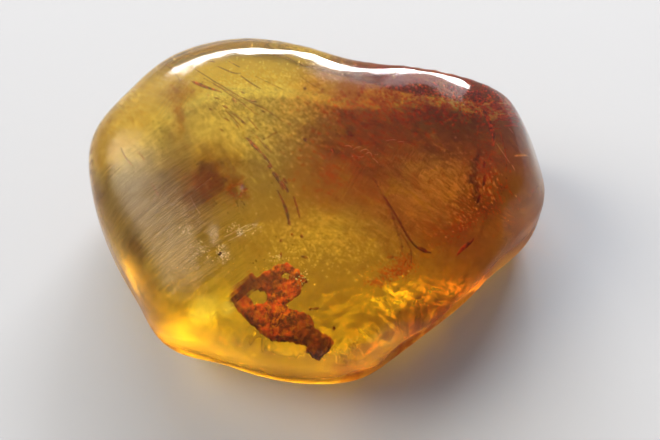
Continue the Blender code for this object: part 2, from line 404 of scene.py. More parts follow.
ragged = torn(tree, where, 4 * MM, 7 * MM)
tint = CLEAREST
for spot, spread, turn, colour, strength, edge in PATCHES.values():
    mask = seen_cloud(tree, ragged, spot, spread, turn, edge)
    tint = blend_colour(tree, product(tree, mask, strength), tint, colour)
print(len(PATCHES), "patches of colour")

# %% [markdown]
# The brown end is no even stain. Smoke drifts through it in streaks that lie along the lump, nearly black
# in some and orange between them, and fainter wisps reach into the pale end. The streaks are a noise whose
# lumps are long one way, and its high and low values are blended in apart.

# %% Smoke, wisps and mottling
SMOKE_LUMP, SMOKE_TURN = (6 * MM, 1.9 * MM, 5 * MM), -32
DARK_SMOKE, BRIGHT_SMOKE, WISP = (0.50, 0.10, 0.03), (0.95, 0.42, 0.05), (0.78, 0.46, 0.10)
brown_part = seen_cloud(tree, ragged, (438, 135), (120, 105), -12, 0.4)
smoke = grain(tree, torn(tree, where, 2.5 * MM, 5 * MM), SMOKE_LUMP, SMOKE_TURN, detail=6.0, roughness=0.62)
darker = product(tree, brown_part, ramp(tree, smoke, 0.50, 0.64, 0.0, 0.75))
tint = blend_colour(tree, darker, tint, DARK_SMOKE)
brighter = product(tree, brown_part, ramp(tree, smoke, 0.47, 0.34, 0.0, 0.80))
tint = blend_colour(tree, brighter, tint, BRIGHT_SMOKE)
wisps = grain(tree, ragged, (5 * MM, 2.2 * MM, 5 * MM), -30, detail=5.0)
tint = blend_colour(tree, ramp(tree, wisps, 0.54, 0.72, 0.0, 0.35), tint, WISP)
mottling = ramp(tree, grain(tree, where, 1.1 * MM, detail=5.0), 0.3, 0.7, 0.88, 1.05)
tint = blend_colour(tree, 1.0, tint, grey(tree, mottling), "MULTIPLY")
print("the smoke's streaks turn by", SMOKE_TURN, "degrees")

# %% [markdown]
# The low flank is painted darker than the crown, as painted shade. A few painted glows then lighten the
# tint where light shines through and under the sheen on the worn side, and a red-brown stain lies low on
# the back. The flank is found by its level above the ground.

# %% Painted shade on the flank, painted glows and the back
# Painted shade for the low flank, and painted light for the glows.
FLANK_SHADE, BACK_STAIN = (0.60, 0.42, 0.14), (0.22, 0.05, 0.02)
PAINTED_GLOW = (1.0, 1.0, 0.70)
PAINTED_GLOWS = (((205, 308), (12, 7), 15), ((227, 308), (6, 4), 0), ((132, 178), (20, 22), 0))
place_parts = add_node(tree, "ShaderNodeSeparateXYZ", {0: where}).outputs
level, along = place_parts["Z"], place_parts["X"]
above_ground = ramp(tree, level, 0.2 * MM, 1.0 * MM)
flank = product(tree, above_ground, ramp(tree, level, 17 * MM, 7 * MM))
tint = blend_colour(tree, flank, tint, FLANK_SHADE, "MULTIPLY")
# Painted light: lighter tints where light glows through, and under the sheen on the worn side.
for spot, spread, turn in PAINTED_GLOWS:
    tint = blend_colour(tree, seen_cloud(tree, where, spot, spread, turn, 0.6), tint, PAINTED_GLOW)
back_stain = cloud(tree, ragged, Vector((13, 15, 5)) * MM, (20 * MM, 9 * MM, 8 * MM), 0, 0.3)
tint = blend_colour(tree, product(tree, back_stain, 0.35), tint, BACK_STAIN)
print(len(PAINTED_GLOWS), "glows")

# %% [markdown]
# The skin was rubbed on a cloth, which left parallel scratches. A scratch is far thinner than a face of
# the mesh, so it is a bump: a noise with lumps that are long along the rubbing and very narrow across it.
# The same noise also darkens the lines in the colour, as painted shade for the light that breaks on them.

# %% Scratches
# The last column is the strength of the painted shade in the scratches.
RUBBINGS = (  # middle and radii in the frame, direction in degrees, depth in millimetres, stain
    ((165, 240), (72, 82), 32, 0.13, 0.42),
    ((172, 100), (24, 34), 62, 0.05, 0.20),
    ((385, 180), (55, 48), 62, 0.05, 0.18),
    ((300, 150), (150, 90), 50, 0.012, 0.0),
)
SCRATCH = (7 * MM, 0.27 * MM, 3 * MM)
height = product(tree, grain(tree, where, 7 * MM, detail=1.0), 0.10 * MM)
scratch_shading = 1.0
for spot, spread, turn, depth, painted_shade in RUBBINGS:
    mask = seen_cloud(tree, where, spot, spread, 0, 0.7)
    lines = grain(tree, where, SCRATCH, turn, detail=2.0, roughness=0.7)
    height = total(tree, height, product(tree, mask, lines, depth * MM))
    scratch_shading = total(tree, scratch_shading, product(tree, mask, ramp(tree, lines, 0.35, 0.65, 0.0, -painted_shade)))
# Painted shade: the scratch lines darken the tint.
tint = blend_colour(tree, 1.0, tint, grey(tree, scratch_shading), "MULTIPLY")
tree.links.new(tint, shader.inputs["Base Color"])
print("the scratches are", len(RUBBINGS), "fields")

# %% [markdown]
# The lower side was never polished. Coarse lumps on it break up the light that comes through, so that the
# gum sparkles instead of showing the floor.

# %% The rough lower side
ROUGH_FLOOR = (((14, -11), (11, 6)), ((-15, -13), (8, 5)))  # middle and radii in millimetres, seen from above
under = ramp(tree, level, 11 * MM, 4 * MM)
rippled = 0.2
for middle, radii in ROUGH_FLOOR:
    spread = (radii[0] * MM, radii[1] * MM, 9 * MM)
    rippled = total(tree, rippled, cloud(tree, where, Vector((*middle, 3.0)) * MM, spread))
lumps = total(tree, product(tree, grain(tree, where, 2.2 * MM, detail=2.0), 0.5 * MM),
              product(tree, grain(tree, where, 0.7 * MM, detail=1.0), 0.05 * MM))
height = total(tree, height, product(tree, under, rippled, lumps))
print(len(ROUGH_FLOOR), "rough places below")

# %% [markdown]
# Low on the flank the real edge is too blunt to mirror the table. So there the normals that the light sees
# lean upwards, and the rim turns into a thin dark amber line. The bump is laid over the leaning normals.

# %% The blunt edge
LEAN = 0.7
blunt = product(tree, above_ground, ramp(tree, level, 13 * MM, 6 * MM),
                ramp(tree, along, 18 * MM, 27 * MM, 1.0, 0.3))
blunt = calculate(tree, "MAXIMUM", blunt, seen_cloud(tree, where, (462, 282), (70, 22), 44, 0.5))
lean = add_node(tree, "ShaderNodeCombineXYZ", {"Z": product(tree, blunt, LEAN)}).outputs[0]
facing = vector_step(tree, "ADD", add_node(tree, "ShaderNodeNewGeometry").outputs["Normal"], lean)
facing = vector_step(tree, "NORMALIZE", facing)
bumps = {"Height": height, "Distance": 1.0, "Strength": 1.0, "Normal": facing}
relief = add_node(tree, "ShaderNodeBump", bumps)
tree.links.new(relief.outputs[0], shader.inputs["Normal"])
print("the normals lean by", LEAN)

# %% [markdown]
# The gloss is uneven too: brightest over the clear front, a little dull on the crown and where the left
# side is worn, and dull on the flank and below. Then the look goes on, and the clear body stands for both
# halves.

# %% Gloss
haze = cloud(tree, where, Vector((0.0, -3.0, 24.0)) * MM, (27 * MM, 18 * MM, 6 * MM), 0, 0.3)
clear = seen_cloud(tree, where, (280, 315), (60, 50), 0, 0.3)
worn = seen_cloud(tree, where, (150, 210), (85, 120), 0, 0.8)
dull = calculate(tree, "MAXIMUM", product(tree, haze, 0.07), product(tree, worn, 0.16))
gloss = total(tree, dull, product(tree, clear, -0.04), product(tree, under, 0.14),
              product(tree, flank, 0.18), 0.07)
tree.links.new(gloss, shader.inputs["Roughness"])
gum.data.materials.clear()
gum.data.materials.append(gum_look)
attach(gum, "root")
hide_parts("gum_upper", "gum_lower")
print("the gum's look has", len(tree.nodes), "nodes")

# %% [markdown]
# The largest scrap is a crumb of rotten bark, as long as a fingernail, with a hook at one end and two
# holes. A slab is the plain start for it: a disc whose corners are moved to the outline on the sheet, and
# which is then drawn up to its thickness.

# %% Slabs
BARK_OUTLINE = (
    (231, 301), (234, 292), (241, 284), (249, 275), (257, 277), (264, 272), (271, 270), (277, 264), (286, 262),
    (292, 267), (300, 274), (309, 282), (303, 287), (300, 293), (292, 301), (281, 303), (275, 304), (285, 308),
    (294, 311), (305, 315), (311, 322), (316, 332), (325, 337), (331, 343), (328, 352), (321, 359), (313, 358),
    (306, 352), (307, 346), (299, 343), (291, 341), (281, 339), (271, 338), (261, 333), (252, 326), (246, 317),
    (238, 309),
)
BARK_HOLES = (
    ((247, 299), (250, 291), (258, 289), (266, 290), (267, 299), (264, 305), (254, 306)),
    ((281, 277), (284, 273), (290, 272), (293, 276), (288, 280)),
)


def slab(name, corners, thickness):
    """A flat slab along the sheet, with these corners half way up its thickness."""
    deselect_all()
    bpy.ops.mesh.primitive_circle_add(vertices=len(corners), radius=MM, fill_type="NGON")
    piece = bpy.context.object
    piece.name = piece.data.name = name
    for vertex, corner in zip(piece.data.vertices, corners):
        vertex.co = corner - PARTING_NORMAL * (thickness / 2)
    bpy.ops.object.mode_set(mode="EDIT")
    bpy.ops.mesh.select_all(action="SELECT")
    bpy.ops.mesh.extrude_region_move(TRANSFORM_OT_translate={"value": PARTING_NORMAL * thickness})
    bpy.ops.mesh.select_all(action="SELECT")
    bpy.ops.mesh.normals_make_consistent(inside=False)
    bpy.ops.object.mode_set(mode="OBJECT")
    return piece


def roughen(piece, lump, depth):
    """Pushes the skin in and out by a cloudy noise with lumps of this size, in metres."""
    cloudy = bpy.data.textures.new(piece.name + "_noise", "CLOUDS")
    cloudy.noise_scale = lump
    cloudy.noise_depth = 2
    apply_modifier(piece, "DISPLACE", texture=cloudy, texture_coords="LOCAL", strength=depth, mid_level=0.5)


print("the bark's outline has", len(BARK_OUTLINE), "corners")

# %% [markdown]
# The holes are cut through the slab. A fine voxel remesh gives it enough faces, and two noises, one coarse
# and one fine, turn the smooth slab into crumbling bark.

# %% The bark flake
BARK_THICKNESS = 1.1 * MM
corners = [on_sheet(*place) for place in BARK_OUTLINE]
bark_flake = slab("bark_crumb", corners, BARK_THICKNESS)
for outline in BARK_HOLES:
    corners = [on_sheet(*place) for place in outline]
    hole = slab("hole", corners, 4 * MM)
    apply_modifier(bark_flake, "BOOLEAN", object=hole, solver="EXACT")
    bpy.data.objects.remove(hole)
apply_modifier(bark_flake, "REMESH", mode="VOXEL", voxel_size=0.13 * MM)
apply_modifier(bark_flake, "SMOOTH", factor=0.5, iterations=4)
roughen(bark_flake, 1.6 * MM, 1.1 * MM)
roughen(bark_flake, 0.5 * MM, 0.5 * MM)
pick(bark_flake)
bpy.ops.object.shade_smooth()
print("the bark has", len(bark_flake.data.polygons), "faces")

# %% [markdown]
# Rotten bark soaked in gum is red-brown and nearly black where it is thick. Two noises mix three colours:
# a dark and a red brown, and an orange that is painted glow for light shining through thin bark. A few
# clouds set the thickest, darkest parts.

# %% The look of bark
# The third colour is painted glow, for light shining through thin bark.
DARK_BROWN, RED_BROWN, ORANGE_GLOW = (0.16, 0.012, 0.005), (0.90, 0.12, 0.008), (1.0, 0.34, 0.02)
THICK_BROWN = (0.16, 0.012, 0.004)
THICK_BARK = (  # middle and radii in the frame, turn in degrees
    ((308, 325), (10, 16), -40), ((262, 286), (26, 7), 12),
    ((318, 346), (13, 11), 0), ((247, 288), (14, 8), 40),
)
bark_look, tree, shader = new_look("bark")
where = tree.nodes.new("ShaderNodeTexCoord").outputs["Object"]
coarse = ramp(tree, grain(tree, where, 1.3 * MM, detail=5.0, roughness=0.65), 0.40, 0.62)
fine = ramp(tree, grain(tree, where, 0.7 * MM, detail=4.0), 0.48, 0.66)
brown = blend_colour(tree, coarse, DARK_BROWN, RED_BROWN)
brown = blend_colour(tree, product(tree, fine, 0.75), brown, ORANGE_GLOW)
for spot, spread, turn in THICK_BARK:
    radii = (spread[0] * STEP, spread[1] * STEP / math.sin(LOOKS_DOWN), 4 * MM)
    mask = cloud(tree, where, on_sheet(*spot), radii, turn, 0.5)
    brown = blend_colour(tree, product(tree, mask, 0.7), brown, THICK_BROWN)
tree.links.new(brown, shader.inputs["Base Color"])
shader.inputs["Roughness"].default_value = 0.6
pits = grain(tree, where, 0.25 * MM, detail=4.0)
relief = add_node(tree, "ShaderNodeBump", {"Height": pits, "Distance": 0.2 * MM})
tree.links.new(relief.outputs[0], shader.inputs["Normal"])
bark_flake.data.materials.append(bark_look)
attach(bark_flake, "root")
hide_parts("bark_flake")
print("the bark's look has", len(tree.nodes), "nodes")

# %% [markdown]
# Needles, hairs and fibres are thin round strands. A curve with a bevel is the plain way to draw one: it
# needs only the places that it passes, with a radius at each, and it is turned into a mesh at the end. All
# strands of one kind are splines of one curve.

# %% Strands
def strands(name, routes, look, slot="scrap"):
    """One mesh of thin closed strands. A route is a list of places, each with a radius in metres."""
    deselect_all()
    bpy.ops.curve.primitive_bezier_curve_add()
    threads = bpy.context.object
    threads.name = threads.data.name = name
    threads.data.splines.clear()
    threads.data.bevel_depth = 1.0
    threads.data.bevel_resolution = 1
    threads.data.use_fill_caps = True
    for route in routes:
        spline = threads.data.splines.new("NURBS")
        spline.points.add(len(route) - 1)
        for point, (place, radius) in zip(spline.points, route):
            point.co = (*place, 1.0)
            point.radius = radius
        spline.order_u = min(3, len(route))
        spline.use_endpoint_u = True
        spline.resolution_u = 4
    pick(threads)
    bpy.ops.object.convert(target="MESH")
    threads = bpy.context.object
    threads.data.materials.clear()
    threads.data.materials.append(look)
    bpy.ops.object.shade_smooth()
    if slot:
        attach(threads, "root")
    return threads


def drawn(places, depth, thick, ends=0.35):
    """A route through places of the frame, this deep and thick in millimetres, thinner at both ends."""
    deep = depth if isinstance(depth, tuple) else (depth, depth)
    last = len(places) - 1
    route = []
    for number, (across, down) in enumerate(places):
        share = number / last
        level = deep[0] + (deep[1] - deep[0]) * share
        slim = ends + (1 - ends) * math.sin(math.pi * min(max(share, 0.04), 0.96)) ** 0.5
        route.append((inside(across, down, level), thick * slim * MM / 2))
    return route


print("a strand is a round tube")

# %% [markdown]
# Plant scraps are red-brown to black, and darker than the gum everywhere. The noise runs along no axis,
# because the scraps lie in all directions.

# %% The look of plant scraps
def scrap_colour(name, dark, light, rough=0.5):
    """A mottled brown look between these two linear colours."""
    look, tree, shader = new_look(name)
    where = tree.nodes.new("ShaderNodeTexCoord").outputs["Object"]
    share = ramp(tree, grain(tree, where, 0.6 * MM, detail=4.0), 0.38, 0.62)
    tree.links.new(blend_colour(tree, share, dark, light), shader.inputs["Base Color"])
    shader.inputs["Roughness"].default_value = rough
    return look


husk_look = scrap_colour("scrap", (0.05, 0.008, 0.004), (0.50, 0.11, 0.02))
fibre_look = scrap_colour("fibre", (0.12, 0.045, 0.012), (0.34, 0.14, 0.03))
root_look = scrap_colour("rootlet", (0.06, 0.008, 0.006), (0.24, 0.03, 0.008))
print(len(bpy.data.materials), "looks so far")

# %% [markdown]
# Four scraps are large enough to be solids of their own. Each is drawn again here as a finer spindle on
# the same place, thicker in its belly than at its tips, flattened towards the sheet, and roughened.

# %% The four larger scraps
FLATNESS = 0.6


def spindle(name, places, thicknesses, replaced):
    """A flattened spindle through these places on the sheet, as thick at each as listed in steps."""
    route = [(on_sheet(*place), thick * STEP / 2) for place, thick in zip(places, thicknesses)]
    piece = strands(name, [route], husk_look, slot=None)
    middle = sum((place for place, _ in route), Vector()) / len(route)
    flatten = Matrix.Scale(FLATNESS, 4, PARTING_NORMAL)
    piece.data.transform(Matrix.Translation(middle) @ flatten @ Matrix.Translation(-middle))
    apply_modifier(piece, "REMESH", mode="VOXEL", voxel_size=0.05 * MM)
    roughen(piece, 0.35 * MM, 0.16 * MM)
    pick(piece)
    bpy.ops.object.shade_smooth()
    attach(piece, "root")
    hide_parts(replaced)
    return piece


SPINDLES = {  # places in the frame, thickness at each in steps, the node it stands for
    "husk": (((191, 81), (195, 83), (200, 85), (207, 88), (215, 90), (223, 93)),
             (1.2, 3.6, 4.2, 3.0, 2.4, 0.8), "seed_husk"),
    "splinter": (((245, 137), (249, 140), (253, 145), (258, 150), (263, 155)),
                 (1.0, 3.4, 3.8, 2.8, 1.2), "bark_splinter"),
    "bud": (((482, 107), (486, 114), (490, 124), (493, 134), (494, 146)),
            (1.4, 4.6, 5.0, 4.6, 1.4), "bud_scale"),
    "leaf": (((460, 264), (465, 258), (470, 253), (475, 249), (479, 244)),
             (0.8, 3.4, 4.6, 3.8, 1.0), "leaf_sliver"),
}
for name, (places, thicknesses, replaced) in SPINDLES.items():
    made = spindle(name, places, thicknesses, replaced)
    print(name, "has", len(made.data.polygons), "faces")

# %% [markdown]
# The fine strands come in four kinds: pale brown needles that fan out behind the husk, dark hairs at the
# left, long red rootlets at the right, and the dark lines that run through the middle. Deep in the gum a
# needle loses some of its width to the haze, so the needles are drawn a little thicker than they look.

# %% Fine strands
NEEDLES = (  # places in the frame, depth, thickness
    (((195, 69), (210, 79), (225, 88), (240, 97), (255, 104), (270, 112), (283, 121)), (5.0, 7.0), 0.14),
    (((206, 60), (211, 61), (215, 62)), 4.0, 0.16),
    (((217, 66), (226, 70), (236, 74), (241, 73)), 4.0, 0.15),
    (((229, 61), (235, 65), (240, 67)), 4.0, 0.14),
    (((241, 76), (250, 83), (261, 89)), 5.0, 0.20),
    (((255, 76), (270, 83), (284, 90)), 5.0, 0.10),
    (((203, 78), (222, 88), (238, 98)), 5.5, 0.10),
    (((213, 84), (228, 93), (243, 104), (258, 115)), 6.5, 0.12),
    (((232, 113), (238, 117), (246, 124)), 6.0, 0.18),
    (((225, 110), (234, 119), (242, 127)), 6.5, 0.13),
    (((247, 117), (252, 122), (258, 130)), 6.0, 0.16),
    (((251, 131), (260, 140), (266, 147), (272, 152)), 7.0, 0.13),
    (((260, 141), (270, 136), (279, 131)), 5.0, 0.13),
    (((165, 62), (172, 70), (182, 82)), 4.0, 0.10),
    (((300, 76), (310, 84), (322, 90)), 6.0, 0.08),
)
HAIRS = (
    (((121, 148), (123, 153), (126, 159), (132, 165)), 2.5, 0.16),
    (((137, 152), (141, 154), (144, 160)), 2.5, 0.18),
    (((151, 182), (154, 188), (158, 195)), 3.0, 0.16),
    (((482, 112), (480, 124), (477, 135)), 5.0, 0.12),
    (((500, 132), (504, 146), (507, 160), (506, 172)), 5.0, 0.12),
)
ROOTLETS = (
    (((370, 175), (375, 180), (382, 193), (388, 205), (393, 215), (397, 230), (402, 245)), (4.0, 9.0), 0.20),
    (((384, 196), (396, 215), (403, 228), (410, 240), (417, 248), (426, 252), (432, 254)), (4.5, 8.0), 0.28),
    (((400, 232), (408, 243), (412, 252), (411, 262)), (6.0, 9.0), 0.16),
    (((392, 216), (398, 233), (403, 247), (400, 256)), (6.0, 9.0), 0.14),
)
DARK_LINES = (
    (((263, 155), (268, 160), (272, 168)), 7.5, 0.30),
    (((272, 172), (276, 177), (280, 184)), 7.5, 0.36),
    (((281, 181), (285, 186), (288, 192)), 7.5, 0.40),
    (((282, 200), (285, 206), (287, 212), (290, 225)), 7.5, 0.42),
    (((294, 196), (297, 206), (300, 218)), 7.0, 0.26),
    (((277, 190), (281, 197), (283, 203)), 7.5, 0.30),
)
THICKER = 1.3
DARK_LINE_ENDS = 0.6
strands("needles", [drawn(places, depth, THICKER * thick) for places, depth, thick in NEEDLES], fibre_look)
strands("hairs", [drawn(*hair) for hair in HAIRS], husk_look)
strands("rootlets", [drawn(*rootlet) for rootlet in ROOTLETS], root_look)
strands("dark_lines", [drawn(*line, DARK_LINE_ENDS) for line in DARK_LINES], root_look)
print(len(NEEDLES) + len(HAIRS) + len(ROOTLETS) + len(DARK_LINES), "strands")

# %% [markdown]
# Flecks and specks are crumbs of the same stuff. One crumb is modelled from an icosphere, and each copy is
# stretched from one place to another, so a fleck lies along its trail. All copies of a kind are then
# one mesh.

# %% Flecks
deselect_all()
bpy.ops.mesh.primitive_ico_sphere_add(subdivisions=2, radius=0.5 * MM)
crumb = bpy.context.object
roughen(crumb, 0.4 * MM, 0.25 * MM)


def crumbs(name, places, look):
    """Copies of the crumb. Each has a start and an end in the frame, a width in steps, a depth in mm."""
    made = []
    for start, end, wide, depth in places:
        first, second = inside(*start, depth), inside(*end, depth)
        middle, along = (first + second) / 2, second - first
        length = max(along.length, wide * STEP)
        turn = along.to_track_quat("X", "Z").to_matrix().to_4x4() if along.length > 0 else Matrix()
        size = Matrix.Diagonal((length / MM, wide * STEP / MM, 0.6 * wide * STEP / MM, 1))
        copy = bpy.data.objects.new(name, crumb.data.copy())
        copy.data.transform(Matrix.Translation(middle) @ turn @ size)
        bpy.context.collection.objects.link(copy)
        made.append(copy)
    piece = join(name, made)
    piece.data.materials.clear()
    piece.data.materials.append(look)
    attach(piece, "root")
    return piece


ORANGE_FLECKS = (
    ((249, 100), (257, 102), 2.6, 5), ((232, 98), (237, 103), 2.6, 5), ((222, 105), (228, 108), 2.6, 5),
    ((312, 309), (320, 308), 2.4, 6), ((242, 103), (246, 106), 1.8, 5), ((261, 110), (266, 113), 1.8, 5),
    ((214, 97), (219, 99), 1.8, 5), ((240, 91), (245, 94), 1.6, 5), ((209, 108), (212, 110), 1.6, 5),
    ((224, 118), (230, 121), 1.8, 6), ((236, 124), (239, 128), 1.8, 6), ((219, 128), (224, 132), 1.6, 6),
    ((386, 258), (394, 256), 2.6, 7), ((232, 297), (230, 306), 2.0, 7), ((301, 256), (308, 258), 2.4, 6),
)
DARK_FLECKS = (
    ((263, 156), (266, 160), 2.4, 7.5), ((267, 165), (271, 169), 2.4, 7.5), ((274, 172), (279, 179), 2.6, 7.5),
    ((283, 178), (287, 184), 2.6, 7.5), ((280, 183), (284, 190), 2.8, 7.5), ((283, 204), (287, 210), 3.2, 7.5),
    ((288, 222), (290, 225), 3.2, 7.5), ((301, 234), (302, 238), 2.6, 7.5), ((292, 233), (292, 236), 2.2, 7.5),
    ((281, 239), (281, 242), 2.0, 7.5), ((418, 247), (428, 252), 4.4, 7.5), ((485, 175), (483, 186), 3.0, 5),
    ((484, 160), (484, 168), 2.4, 5), ((480, 194), (477, 204), 2.4, 5), ((495, 142), (499, 150), 1.6, 5),
    ((475, 99), (476, 101), 1.8, 4), ((477, 105), (478, 107), 1.8, 4), ((304, 87), (306, 90), 3.0, 6),
    ((349, 131), (352, 136), 4.0, 6), ((303, 138), (307, 141), 3.4, 5), ((331, 148), (333, 153), 3.4, 6),
    ((241, 120), (244, 124), 2.0, 6), ((218, 252), (221, 255), 4.6, 1.2), ((333, 327), (335, 329), 3.0, 6),
    ((309, 310), (312, 308), 1.8, 6), ((281, 252), (281, 258), 1.6, 2), ((168, 299), (169, 301), 2.0, 4),
)
crumbs("orange_flecks", ORANGE_FLECKS, fibre_look)
crumbs("dark_flecks", DARK_FLECKS, root_look)
print(len(ORANGE_FLECKS) + len(DARK_FLECKS), "flecks")

# %% [markdown]
# Black specks, like ground pepper, lie in small swarms. The swarms are listed one by one and the specks in
# them placed at random, always from the same seed, so that the part comes out the same each time.

# %% Specks
pepper_look = scrap_colour("pepper", (0.004, 0.003, 0.003), (0.03, 0.012, 0.006))
LONE_SPECKS = (
    (153, 121), (159, 123), (160, 128), (155, 131), (161, 131), (169, 118), (174, 126), (163, 138), (159, 140),
    (162, 143), (162, 148), (162, 155), (195, 161), (197, 164), (209, 174), (208, 178), (217, 182), (226, 180),
    (214, 201), (216, 203), (214, 206), (237, 203), (241, 201), (235, 207), (238, 206), (244, 204), (228, 213),
    (212, 263), (133, 172), (184, 229), (221, 162), (223, 163),
)
SPECK_SWARMS = (  # middle and spread in the frame, count
    ((240, 204), (9, 6), 14), ((160, 140), (6, 12), 8), ((472, 110), (8, 12), 10), ((270, 178), (14, 14), 12),
    ((290, 235), (12, 8), 8), ((240, 246), (14, 8), 10), ((410, 262), (14, 12), 14), ((265, 262), (16, 8), 16),
    ((420, 290), (30, 18), 20), ((500, 190), (16, 30), 18), ((345, 130), (26, 16), 16),
)
chance = random.Random(7)
spots = [(spot, spot, 1.3, 2.0) for spot in LONE_SPECKS]
for (across, down), (wide, high), count in SPECK_SWARMS:
    for _ in range(count):
        spot = (across + chance.gauss(0, 0.5) * wide, down + chance.gauss(0, 0.5) * high)
        end = (spot[0] + chance.uniform(-1, 1), spot[1] + chance.uniform(-1, 1))
        spots.append((spot, end, chance.uniform(0.6, 1.3), chance.uniform(2, 7)))
crumbs("specks", spots, pepper_look)
bpy.data.objects.remove(crumb)
print(len(spots), "specks")

# %% [markdown]
# Milky gum is clear gum full of tiny bubbles, and it glows because they throw the light back. A volume
# that scatters light is slow and is lost in other programs, so the milk is made as it is in nature: a
# swarm of pale droplets, dense in its middle and thin at its edges, deep below the needles. The same
# helper then scatters rusty dust and pale chips. The droplet has only twenty faces, as there are
# thousands, and all of a kind are written into one mesh, because joining so many is slow.

# %% Swarms
deselect_all()
bpy.ops.mesh.primitive_ico_sphere_add(subdivisions=1, radius=0.5 * MM)
droplet = bpy.context.object
bpy.ops.object.mode_set(mode="EDIT")
bpy.ops.mesh.select_all(action="SELECT")
bpy.ops.transform.resize(value=(1.0, 0.8, 0.4))
bpy.ops.object.mode_set(mode="OBJECT")


def swarm(name, clouds, look, seed):
    """One mesh of droplets, in clouds as the tables below list them. One off the gum is left out."""
    chance = random.Random(seed)
    corners, sides = [], []
    for (across, down), (wide, high), (near, far), count, size in clouds:
        for _ in range(count):
            spot = (across + chance.gauss(0, 1) * wide, down + chance.gauss(0, 1) * high)
            try:
                place, way = into_gum(*spot)
            except ValueError:
                continue
            end = gum.ray_cast(place + way * 0.01 * MM, way)[1]
            middle = place.lerp(end, chance.uniform(near, far))
            scale = size * chance.uniform(0.5, 1.2)
            turn = Matrix.Rotation(chance.uniform(0, 3.1), 4, "Z")
            turn = turn @ Matrix.Rotation(chance.uniform(-0.6, 0.6), 4, "X")
            placed = Matrix.Translation(middle) @ turn @ Matrix.Scale(scale, 4)
            sides += [[len(corners) + corner for corner in face.vertices] for face in droplet.data.polygons]
            corners += [placed @ vertex.co for vertex in droplet.data.vertices]
    piece = bpy.data.objects.new(name, bpy.data.meshes.new(name))
    piece.data.from_pydata(corners, [], sides)
    bpy.context.collection.objects.link(piece)
    piece.data.materials.append(look)
    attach(piece, "root")
    print(name, "has", len(piece.data.polygons), "faces")
    return piece


print("a droplet has", len(droplet.data.polygons), "faces")

# %% [markdown]
# The milk lies in the pale end, with thinner clouds under the middle and in the brown end.

# %% Milk
milk_look = scrap_colour("milk", (0.95, 0.87, 0.58), (1.0, 0.98, 0.80), 0.8)
MILK = (  # middle and spread in the frame, nearest and farthest share of the way through, count, size
    ((226, 124), (42, 23), (0.50, 0.85), 4400, 0.27),
    ((275, 88), (30, 10), (0.45, 0.80), 900, 0.30),
    ((298, 106), (18, 12), (0.50, 0.80), 500, 0.26),
    ((138, 128), (17, 18), (0.40, 0.80), 800, 0.42),
    ((325, 236), (32, 16), (0.55, 0.88), 1300, 0.21),
    ((432, 188), (26, 20), (0.50, 0.80), 1400, 0.22),
)
swarm("milk", MILK, milk_look, 11)

# %% [markdown]
# The rust darkens the brown end from inside and makes a few small stains elsewhere. Eleven tiny clouds
# just under the skin stand in a ring, as the crust of a blister.

# %% Rusty dust
rust_look = scrap_colour("rust", (0.26, 0.034, 0.010), (0.56, 0.11, 0.018), 0.8)
RUST = (
    ((405, 104), (50, 9), (0.45, 0.85), 1000, 0.42),
    ((380, 130), (32, 16), (0.50, 0.85), 350, 0.42),
    ((340, 165), (26, 16), (0.50, 0.85), 250, 0.40),
    ((486, 165), (8, 30), (0.40, 0.75), 600, 0.18),
    ((462, 226), (24, 16), (0.50, 0.80), 700, 0.18),
    ((404, 264), (6, 6), (0.35, 0.75), 260, 0.20),
    ((392, 272), (8, 4), (0.35, 0.75), 300, 0.20),
    ((378, 282), (6, 2.5), (0.35, 0.75), 160, 0.18),
    ((487, 109), (26, 7), (0.30, 0.80), 350, 0.36),
    ((205, 182), (16, 9), (0.45, 0.80), 160, 0.36),
    ((176, 118), (5, 14), (0.40, 0.80), 80, 0.36),
    ((178, 94), (12, 8), (0.40, 0.80), 90, 0.36),
)
CRUST_CLOUDS, CRUST_STEP = 11, 0.6
for step in range(CRUST_CLOUDS):
    spot = (237 + 7 * math.cos(CRUST_STEP * step), 190 + 5 * math.sin(CRUST_STEP * step))
    RUST += ((spot, (1.5, 1.0), (0.04, 0.12), 12, 0.16),)
swarm("rust", RUST, rust_look, 12)

# %% [markdown]
# Where the skin is pitted or scuffed, it is full of tiny flakes that catch the light. Chips just under the
# skin stand for them, with thin pale nicks between, which are strands like the hairs. Their pale colour
# is painted glint, for the light that the flakes catch.

# %% Painted glints: pale chips and nicks
# Painted glint: the pale colour stands for light caught by flakes in the pits.
glint_look = scrap_colour("glint_chips", (0.55, 0.45, 0.48), (0.85, 0.82, 0.86), 0.3)
GLINT_CHIPS = (
    ((184, 229), (4, 2.5), (0.01, 0.04), 26, 0.22),
    ((201, 249), (5, 6), (0.01, 0.04), 46, 0.24),
    ((220, 252), (6, 5), (0.01, 0.04), 46, 0.24),
    ((240, 229), (8, 3), (0.01, 0.05), 60, 0.26),
    ((277, 258), (5, 3), (0.01, 0.04), 26, 0.24),
    ((303, 277), (4, 4), (0.05, 0.12), 26, 0.26),
    ((362, 152), (9, 5), (0.005, 0.02), 22, 0.14),
    ((246, 200), (7, 8), (0.03, 0.10), 26, 0.16),
    ((355, 345), (3, 5), (0.45, 0.60), 40, 0.22),
    ((349, 362), (8, 2), (0.45, 0.60), 40, 0.22),
)
swarm("glint_chips", GLINT_CHIPS, glint_look, 13)
bpy.data.objects.remove(droplet)
